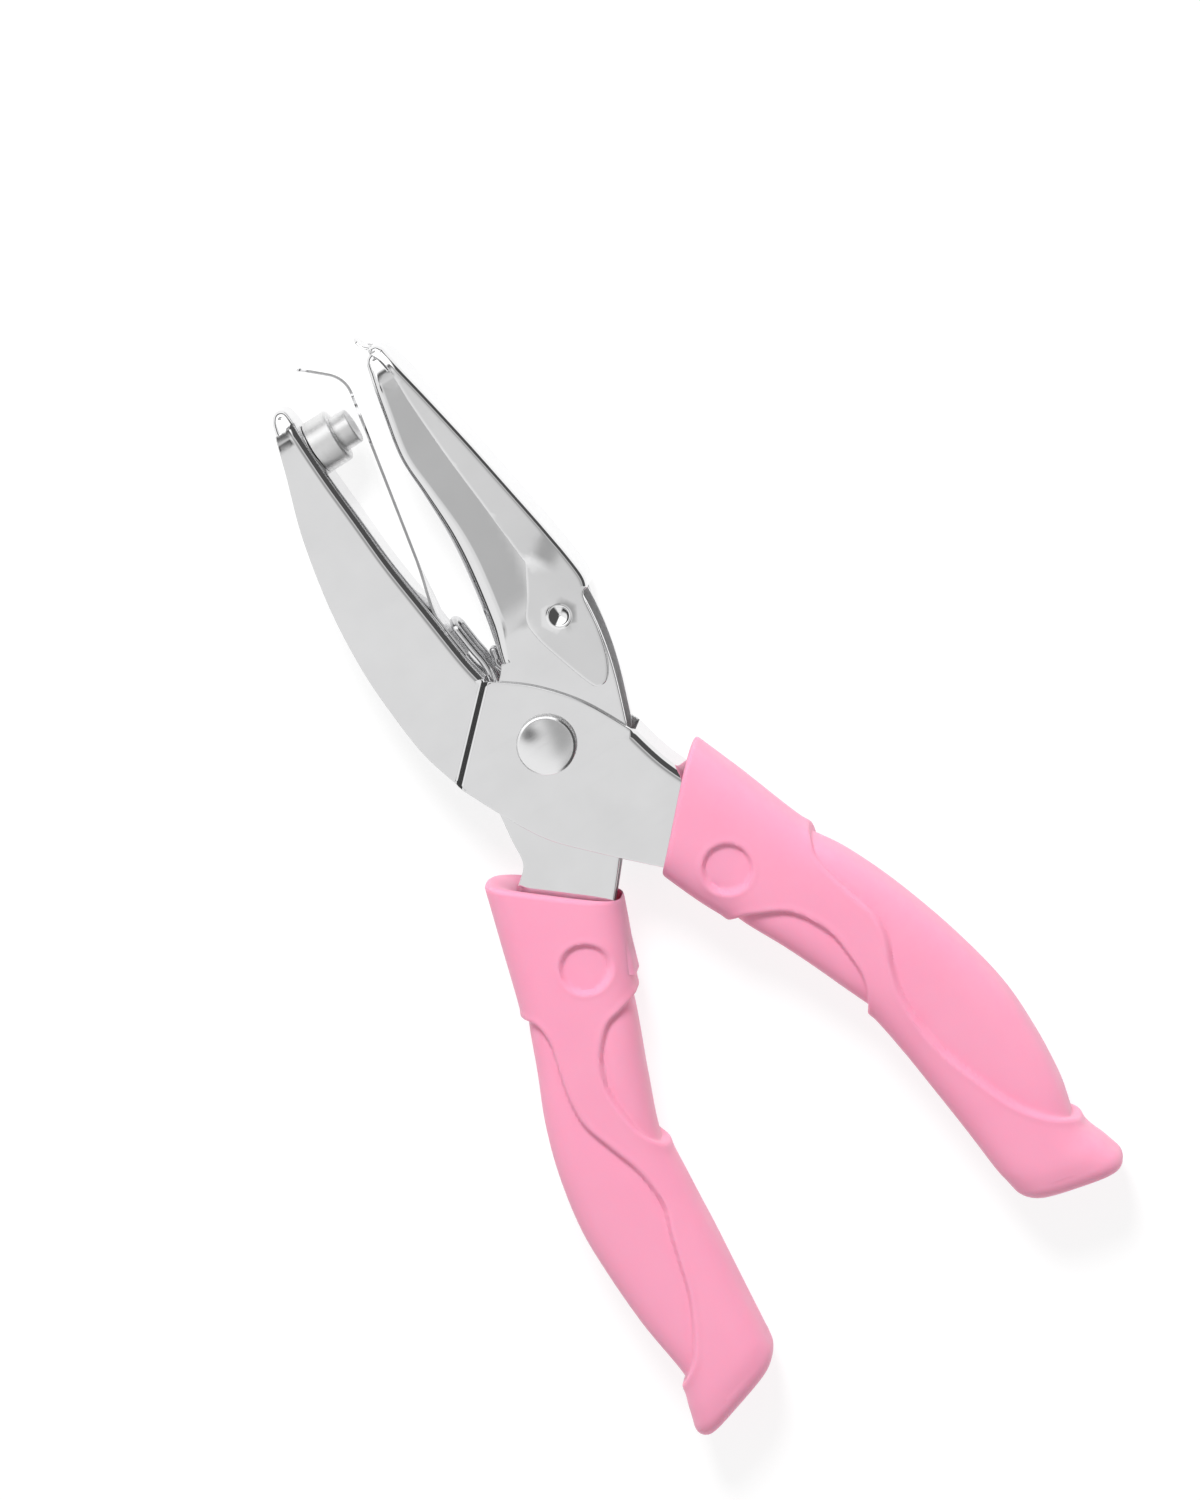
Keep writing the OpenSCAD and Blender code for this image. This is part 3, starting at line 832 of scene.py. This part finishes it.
def spring_path():
    top = COIL_LOW + COIL_TURNS * COIL_PITCH
    start = math.radians(COIL_START)
    meets = (COIL_R * math.cos(start), COIL_R * math.sin(start))
    leg = curve([(0.08, 15.2), (-0.14, 14.2), (-0.4, 13), (1.2, 9.6), (3.6, 5), meets], 6)[:-1]
    half = [(x, y, COIL_LOW) for x, y in leg]
    count = 60
    for k in range(count + 1):
        a = math.radians(COIL_START - 360 * COIL_TURNS * k / count)
        z = COIL_LOW + (top - COIL_LOW) * k / count
        half.append((COIL_R * math.cos(a), COIL_R * math.sin(a), z))
    end = half[-1]
    rise = curve([end[:2], (-2.3, 10), (-1.65, 14), (-2, 17.3), (-2.33, 20.6)], 6)[1:]
    half += [(x, y, top) for x, y in rise]
    loop = [
        (-2.33 - 0.14 * math.sin(a), 20.6 + 1.3 * math.sin(a), top * math.cos(a))
        for a in np.linspace(0, math.pi, 17)[1:-1]
    ]
    return half + loop + [(x, y, -z) for x, y, z in reversed(half)]


verts, faces = tube(spring_path(), WIRE_R)
spring = make("return_spring_wire", verts, faces, WIRE, None, ["return_spring"])
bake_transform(spring)

# ---------------------------------------------------------------- stripper blade

TAIL_FOOT, TAIL_ANGLE, TAIL_LENGTH, BLADE_BEND = np.array((-3.02, 17)), 95.5, 7, 2
BLADE_ANGLE, BLADE_LENGTH, HOOK_R, HOOK_ANGLE, HOOK_LENGTH = 78.4, 33.8, 4.5, 138, 4.2
ROOT_HALF, NECK_HALF, RING_R, RING_HOLE_R, RING_Y, TONGUE_HALF = 3.4, 2.1, 4.1, 3.15, 53.2, 1.1
BLADE_T = 0.4
BLADE_LEAN = np.array((0.164, 0.056))  # edge-on to the camera, at the blade's place in the image


def towards(angle):
    return np.array((math.cos(math.radians(angle)), math.sin(math.radians(angle))))


def arc(centre, radius, a, b, count):
    return [centre + radius * towards(a + (b - a) * k / count) for k in range(count + 1)]


def blade_path():
    tail_end = TAIL_FOOT + TAIL_LENGTH * towards(TAIL_ANGLE)
    turn = tail_end + BLADE_BEND * towards(TAIL_ANGLE - 90)
    bend = arc(turn, BLADE_BEND, TAIL_ANGLE + 90, BLADE_ANGLE + 90, 6)
    finish = bend[-1] + BLADE_LENGTH * towards(BLADE_ANGLE)
    centre = finish + HOOK_R * towards(BLADE_ANGLE + 90)
    hook = arc(centre, HOOK_R, BLADE_ANGLE - 90, HOOK_ANGLE - 90, 14)
    tip = hook[-1] + HOOK_LENGTH * towards(HOOK_ANGLE)
    flick = tip + 0.5 * towards(HOOK_ANGLE + 14)
    return np.array([TAIL_FOOT] + bend + hook + [tip, flick])


path = blade_path()
end_y = path[-1][1]
ring_edge = [(RING_Y + RING_R * math.cos(a), RING_R * math.sin(a))
             for a in np.radians(np.linspace(-145, -22, 20))]
half_face = (
    [(17, -ROOT_HALF), (24, -ROOT_HALF)]
    + [(24 + 10 * t, -ROOT_HALF + (ROOT_HALF - NECK_HALF) * float(ease(0, 1, t)))
       for t in np.linspace(0.15, 1, 6)]
    + ring_edge
    + [(y, -TONGUE_HALF) for y in np.arange(57.6, end_y - 1.3, 0.35)]
    + [(end_y - 1.2 + 1.2 * math.cos(a), TONGUE_HALF * math.sin(a))
       for a in np.radians(np.linspace(-90, 0, 7))]
)
blade_face = np.array(half_face + [(y, -z) for y, z in reversed(half_face[:-1])])
blade = ribbon("stripper_blade_strip", blade_face, [ring_of((RING_Y, 0), RING_HOLE_R, 48)], path,
               STRIP, lean=lambda y: BLADE_LEAN * float(ease(25, 33, y)))
thicken(blade, BLADE_T, 0.06)
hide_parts("stripper_blade")
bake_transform(blade)

# ---------------------------------------------------------------- grips

RAISE = 0.62  # height of the raised swirl over the panels beside it
SIDES = 176  # points round a sleeve
SQUARE = 0.59  # how square its section is: 1 is an ellipse, 0 a rectangle
MOUTH_SQUARE = 0.28
PER_STATION = 26  # rings from each station to the next
BUTT_ROLL, BUTT_STEPS = 2.2, 8
DOT_R = 3.66


def section(share, square=SQUARE):
    """Point of a grip's cross-section, from 0 to 1 round it: place across and height, both -1 to 1."""
    a = np.linspace(0, 2 * math.pi, 721)
    x = np.sign(np.cos(a)) * np.abs(np.cos(a)) ** square
    z = np.sign(np.sin(a)) * np.abs(np.sin(a)) ** square
    run = np.concatenate([[0], np.cumsum(np.hypot(np.diff(x), np.diff(z)))])
    at = np.array(share) * run[-1]
    return np.interp(at, run, x), np.interp(at, run, z)


def grip(name, outer, inner, half, swirl, hollow, dot, mouth, pocket, body, cad):
    """A moulded sleeve: smooth sleeve through all stations, a raised swirl between two curves, a
    round sunk dot, a rounded open mouth and a rounded butt.

    swirl and hollow are curves between the raised part and the outer and inner panel. mouth is
    (start, end) of the opening along the first station, and pocket its half height."""
    share = (np.arange(SIDES) + 0.5) / SIDES
    across, up = section(share)
    o = curve(outer, PER_STATION)
    n = curve(inner, PER_STATION)
    h = curve([(v, 0) for v in half], PER_STATION)[:, 0]
    rings = []
    for a, b, t in zip(o, n, h):
        centre, reach = (a + b) / 2, (a - b) / 2
        spot = centre + across[:, None] * reach
        rings.append(np.column_stack([spot, up * t]))
    axis = np.append((o[PER_STATION] + n[PER_STATION] - o[0] - n[0]), 0)
    axis /= np.linalg.norm(axis)
    # Rounded butt: the last ring rolls in towards its own middle line
    back = np.append(o[-1] + n[-1] - o[-4] - n[-4], 0)
    back /= np.linalg.norm(back)
    centre = np.append((o[-1] + n[-1]) / 2, 0)
    half_width = np.hypot(*(o[-1] - n[-1])) / 2
    butt = []
    last = rings[-1]
    for k in range(1, BUTT_STEPS + 1):
        a = math.pi / 2 * k / BUTT_STEPS
        drawn_in = BUTT_ROLL * (1 - math.cos(a))
        squash = np.array([1 - drawn_in / half_width] * 2 + [1 - drawn_in / h[-1]])
        butt.append(centre + (last - centre) * squash + back * BUTT_ROLL * math.sin(a))
    end_centre = centre + back * BUTT_ROLL
    rolled = butt[-1]
    for shrink in (0.8, 0.55, 0.3, 0.1):
        butt.append(end_centre + (rolled - end_centre) * shrink)
    rings = np.array(rings + butt)
    grid = raised(rings, swirl, hollow, dot)
    # Open mouth: rounded rim and a pocket for the tang
    along = np.array(inner[0]) - np.array(outer[0])
    along = along / np.hypot(*along)
    x_in, z_in = section(share, MOUTH_SQUARE)
    start, end = (np.array(outer[0]) + along * s for s in mouth)
    opening = np.column_stack(
        [(start + end) / 2 + x_in[:, None] * (start - end) / 2, z_in * pocket]
    )
    lead = 3
    edge = grid[lead]
    rim = []
    count = 8
    for k in range(count + 1):
        a = math.pi * k / count
        mix = (1 - math.cos(a)) / 2
        base = (opening + axis * 1.2) * (1 - mix) + edge * mix
        rim.append(base - axis * math.sin(a))
    deep = [opening + axis * d for d in (11, 8, 5, 3)]
    grid = np.concatenate([deep, rim, grid[lead + 1:]])
    rows = len(grid)
    verts = grid.reshape(-1, 3)
    faces = []
    for row in range(0, (rows - 1) * SIDES, SIDES):
        for k in range(SIDES):
            m = (k + 1) % SIDES
            faces.append((row + k, row + SIDES + k, row + SIDES + m, row + m))
    faces.append(tuple(range(SIDES)))
    faces.append(tuple(reversed(range((rows - 1) * SIDES, rows * SIDES))))
    return make(name, verts, faces, PINK, body, [cad])


def raised(rings, swirl, hollow, dot):
    """The rings with the swirl raised over both panels and the dot sunk, along the surface."""
    ahead = np.roll(rings, -1, 1) - np.roll(rings, 1, 1)
    down = np.gradient(rings, axis=0)
    normal = np.cross(ahead, down)
    normal /= np.maximum(np.linalg.norm(normal, axis=2), 1e-9)[..., None]
    middle = rings.mean(1, keepdims=True)
    outward = np.sum(normal * (rings - middle), axis=2)
    if np.median(outward) < 0:
        normal = -normal
    flat = rings.reshape(-1, 3)[:, :2]
    from_swirl = nearest(flat, curve(swirl, 6))
    from_hollow = nearest(flat, curve(hollow, 6))
    gap = np.minimum(from_swirl, from_hollow)
    lift = RAISE * ease(-0.3, 0.3, gap)
    lift += 0.1 * bump((gap - 0.55) / 0.45)
    lift -= 0.4 * np.exp(-np.clip(-gap, 0, None) / 1.9) * (1 - ease(-0.4, 0.1, gap))
    away = np.hypot(flat[:, 0] - dot[0], flat[:, 1] - dot[1])
    on_face = np.abs(rings.reshape(-1, 3)[:, 2]) > 4.5
    sunk = 0.8 * (1 - ease(DOT_R - 0.45, DOT_R + 0.05, away))
    sunk -= 0.09 * bump((away - DOT_R - 0.45) / 0.35)
    lift -= np.where(on_face, sunk, 0)
    return rings + normal * lift.reshape(rings.shape[:2])[..., None]


grip_a_outer = [(17.3, -11.3), (20.3, -19.2), (24.1, -29.9), (28.1, -37.5), (31.4, -45.5),
                (34.5, -55.6), (36.5, -65.1), (36.8, -73.1), (36.2, -81.1), (35, -88.4),
                (36.3, -93), (37, -95.2)]
grip_a_inner = [(3.9, -25.4), (6.4, -31.6), (9.3, -37.4), (12.7, -44), (15.8, -51.3),
                (18.3, -58.3), (19.5, -65.5), (20.3, -72.7), (21.1, -80.5), (21.7, -87.6),
                (22.1, -90), (22.4, -91.9)]
swirl_a = [(40, -24), (30, -27.9), (25.6, -29.9), (24.6, -32.3), (24.2, -35.6), (25.5, -41.2),
           (26.8, -45.8), (26.6, -49.6), (24.9, -54.1), (23.9, -58), (23.8, -63.1), (24.6, -68.6),
           (26.8, -75.1), (28.9, -80.2), (31.7, -84.1), (34.5, -86.9), (36.3, -88.7),
           (40.7, -92.1), (48.6, -98.1)]
hollow_a = [(-0.1, -37.6), (6.5, -36), (10.4, -36.2), (12.8, -37.1), (16.1, -38.8), (18.2, -41.1),
            (20.1, -45), (20.6, -49), (20.6, -53.2), (19.1, -56.9), (16.4, -60), (9.3, -66)]
GRIP_HALF = [6.9, 6.9, 6.9, 6.75, 6.55, 6.45, 6.35, 6.35, 6.45, 6.6, 6.6, 6.3]
grip("punch_arm_grip_sleeve", grip_a_outer, grip_a_inner, GRIP_HALF, swirl_a[::-1], hollow_a,
     (12.6, -29.1), (3.6, 18.5), PLATE_TOP + 0.2, "punch_side", "punch_arm_grip")

grip_b_outer = [(-19, -12.9), (-21.7, -21.8), (-24.8, -31.9), (-27.8, -39.6), (-31.2, -47.2),
                (-33.7, -54.8), (-35.4, -63.4), (-35.7, -71), (-35.4, -80.1), (-34.5, -89.3),
                (-35.8, -94.8), (-36.6, -97.4)]
grip_b_inner = [(-4.2, -25.2), (-6.6, -31), (-9.6, -37.5), (-12.3, -43.5), (-15.2, -50.4),
                (-17.8, -57.7), (-18.8, -66.4), (-19.5, -74.1), (-20.4, -82.1), (-21.3, -90.1),
                (-21.4, -91.3), (-21.6, -92.7)]
swirl_b = [(-40, -28), (-29, -31.2), (-24.1, -33.3), (-23.3, -37.1), (-24.5, -41.8),
           (-25.5, -46.1), (-25.7, -50.4), (-24.3, -55.1), (-22.9, -59.6), (-22.4, -63.4),
           (-22.5, -66.7), (-23.8, -70.7), (-24.9, -74.5), (-26.3, -79.4), (-28.2, -83.5),
           (-30, -86.7), (-32.3, -89.3), (-37.5, -92.7), (-47.6, -97.8)]
hollow_b = [(-0.1, -38.1), (-7, -37.3), (-10.1, -38), (-12.4, -38.6), (-14.5, -39.2),
            (-16.6, -41), (-18.5, -43.5), (-19.9, -47.1), (-20, -51.4), (-19.5, -55.8),
            (-17.7, -59.6), (-14.7, -62.4), (-6.8, -66.4)]
grip("die_arm_grip_sleeve", grip_b_outer, grip_b_inner, GRIP_HALF, swirl_b, hollow_b[::-1],
     (-13, -30.6), (4.0, 19.4), INNER_TOP + 0.25, "die_side", "die_arm_grip")

# ---------------------------------------------------------------- studio

ROOM = 0.5
BACKDROP = 0.95
ZENITH = (0.88, 0.42)
# Brightness, azimuth from image right, half width, lowest and highest edge, edge softness
CARDS = [
    (0.09, 0, 60, 5, 58, 8),
    (0.06, 180, 60, 6, 17, 4),
    (0.98, 180, 60, 26, 58, 6),
    (1.5, 115, 36, 24, 56, 5),
    (0.05, 115, 36, 2, 14, 3),
    (0.06, 122, 28, 62, 70, 4),
]

# Brightness, lean to image right and to image top, radius and softness of patches near the top
SPOTS = [
    (0.5, -0.22, 0, 0.03, 0.1),
    (0.02, -0.34, 0.0, 0.06, 0.09),
]


def stage_floor():
    mesh = bpy.data.meshes.new("floor")
    r = 3.0
    mesh.from_pydata([(-r, -r, 0), (r, -r, 0), (r, r, 0), (-r, r, 0)], [], [(0, 1, 2, 3)])
    obj = bpy.data.objects.new("floor", mesh)
    bpy.context.scene.collection.objects.link(obj)
    m = Nodes("pale_floor")
    m.link(m.mixed(m.noise(6, 2), (0.25, 0.25, 0.25), (0.24, 0.24, 0.24)), m.shader.inputs["Base Color"])
    m.shader.inputs["Emission Color"].default_value = (1, 1, 1, 1)
    m.shader.inputs["Emission Strength"].default_value = 0.8
    m.shader.inputs["Roughness"].default_value = 0.8
    m.shader.inputs["Specular IOR Level"].default_value = 0.1
    mesh.materials.append(m.material)


def studio():
    """A pale room for what is lit and seen directly, with soft dark cards for reflections."""
    world = bpy.data.worlds.new("studio")
    bpy.context.scene.world = world
    world.use_nodes = True
    tree = world.node_tree
    tree.nodes.clear()

    def add(kind, **settings):
        node = tree.nodes.new(kind)
        for key, value in settings.items():
            setattr(node, key, value)
        return node

    def math_node(operation, a, b=None):
        node = add("ShaderNodeMath", operation=operation)
        for i, v in enumerate((a, b)):
            if v is None:
                continue
            if isinstance(v, (int, float)):
                node.inputs[i].default_value = v
            else:
                tree.links.new(v, node.inputs[i])
        return node.outputs[0]

    def dot(vector, axis):
        node = add("ShaderNodeVectorMath", operation="DOT_PRODUCT")
        tree.links.new(vector, node.inputs[0])
        node.inputs[1].default_value = axis
        return node.outputs["Value"]

    def smooth(value, low, high):
        node = add("ShaderNodeMapRange", interpolation_type="SMOOTHSTEP")
        node.inputs["From Min"].default_value = low
        node.inputs["From Max"].default_value = high
        tree.links.new(value, node.inputs["Value"])
        return node.outputs["Result"]

    direction = add("ShaderNodeTexCoord").outputs["Generated"]
    right, top = dot(direction, IMAGE_RIGHT), dot(direction, IMAGE_UP)
    height = math_node("ARCSINE", dot(direction, (0, 0, 1)))
    around = math_node("ARCTAN2", top, right)

    def card(level, value, azimuth, half, low, high, soft=6.0, soft_side=18.0):
        """Adds a soft-edged card of the given brightness; angles in degrees from image right."""
        rad = math.radians
        turned_by = math_node("SUBTRACT", around, rad(azimuth))
        wrapped = math_node("ABSOLUTE", math_node("ARCTAN2", math_node("SINE", turned_by),
                                                  math_node("COSINE", turned_by)))
        beside = smooth(wrapped, rad(half + soft_side), rad(half))
        above = smooth(height, rad(low - soft), rad(low))
        below = smooth(height, rad(high + soft), rad(high))
        mask = math_node("MULTIPLY", math_node("MULTIPLY", beside, above), below)
        gap = math_node("SUBTRACT", value, level)
        return math_node("ADD", level, math_node("MULTIPLY", gap, mask))

    def spot(level, value, at_right, at_top, radius, soft):
        """Adds a round soft patch, placed by how far it leans to image right and image top."""
        off_right = math_node("SUBTRACT", right, at_right)
        off_top = math_node("SUBTRACT", top, at_top)
        far = math_node("SQRT", math_node("ADD", math_node("MULTIPLY", off_right, off_right),
                                          math_node("MULTIPLY", off_top, off_top)))
        mask = math_node("MULTIPLY", smooth(far, radius + soft, radius), smooth(height, 0, 0.3))
        gap = math_node("SUBTRACT", value, level)
        return math_node("ADD", level, math_node("MULTIPLY", gap, mask))

    level = add("ShaderNodeValue")
    level.outputs[0].default_value = 0.98
    glow = level.outputs[0]
    for values in CARDS:
        glow = card(glow, *values)
    # Straight above, the room falls off towards image right
    near_top = smooth(height, math.radians(60), math.radians(76))
    fall = smooth(math_node("ADD", right, math_node("MULTIPLY", top, 0.35)), -0.16, 0.10)
    shade = math_node("SUBTRACT", ZENITH[0], math_node("MULTIPLY", fall, ZENITH[0] - ZENITH[1]))
    gap = math_node("SUBTRACT", shade, glow)
    glow = math_node("ADD", glow, math_node("MULTIPLY", gap, near_top))

    for values in SPOTS:
        glow = spot(glow, *values)

    path = add("ShaderNodeLightPath")
    room = add("ShaderNodeMix", data_type="FLOAT")
    tree.links.new(path.outputs["Is Camera Ray"], room.inputs["Factor"])
    room.inputs["A"].default_value = ROOM
    room.inputs["B"].default_value = BACKDROP
    mix = add("ShaderNodeMix", data_type="FLOAT")
    tree.links.new(path.outputs["Is Glossy Ray"], mix.inputs["Factor"])
    tree.links.new(room.outputs["Result"], mix.inputs["A"])
    tree.links.new(glow, mix.inputs["B"])
    background = add("ShaderNodeBackground")
    background.inputs["Color"].default_value = (1, 1, 1, 1)
    tree.links.new(mix.outputs["Result"], background.inputs["Strength"])
    output = add("ShaderNodeOutputWorld")
    tree.links.new(background.outputs[0], output.inputs["Surface"])


def softbox(name, size, power, at, aim):
    light = bpy.data.lights.new(name, "AREA")
    light.shape = "DISK"
    light.size = size
    light.energy = power
    obj = bpy.data.objects.new(name, light)
    bpy.context.scene.collection.objects.link(obj)
    obj.location = at
    obj.rotation_euler = (Vector(aim) - Vector(at)).to_track_quat("-Z", "Y").to_euler()
    obj.visible_glossy = False
    return obj


def camera():
    """Long lens over the tool, tipped towards the image's top right."""
    lens, sensor, view_height = 200, 36, 0.2180
    distance = view_height / 2 / (sensor / 2 / lens)
    centre = Vector((5.2, -5.4, MID)) * MM
    data = bpy.data.cameras.new("camera")
    data.lens, data.sensor_width = lens, sensor
    data.clip_start, data.clip_end = 0.05, 20
    obj = bpy.data.objects.new("camera", data)
    bpy.context.scene.collection.objects.link(obj)
    z = TO_CAMERA
    x = (IMAGE_RIGHT - z * IMAGE_RIGHT.dot(z)).normalized()
    y = z.cross(x)
    turn = Matrix((x, y, z)).transposed().to_4x4()
    obj.matrix_world = Matrix.Translation(centre + z * distance) @ turn
    bpy.context.scene.camera = obj


stage_floor()
studio()
KEY_AT = IMAGE_UP * 0.75 - IMAGE_RIGHT * 0.15 + Vector((0, 0, 0.75))
softbox("key", 0.35, 11, KEY_AT, (0, 0, 0))
camera()
bpy.context.scene.view_settings.view_transform = "Standard"
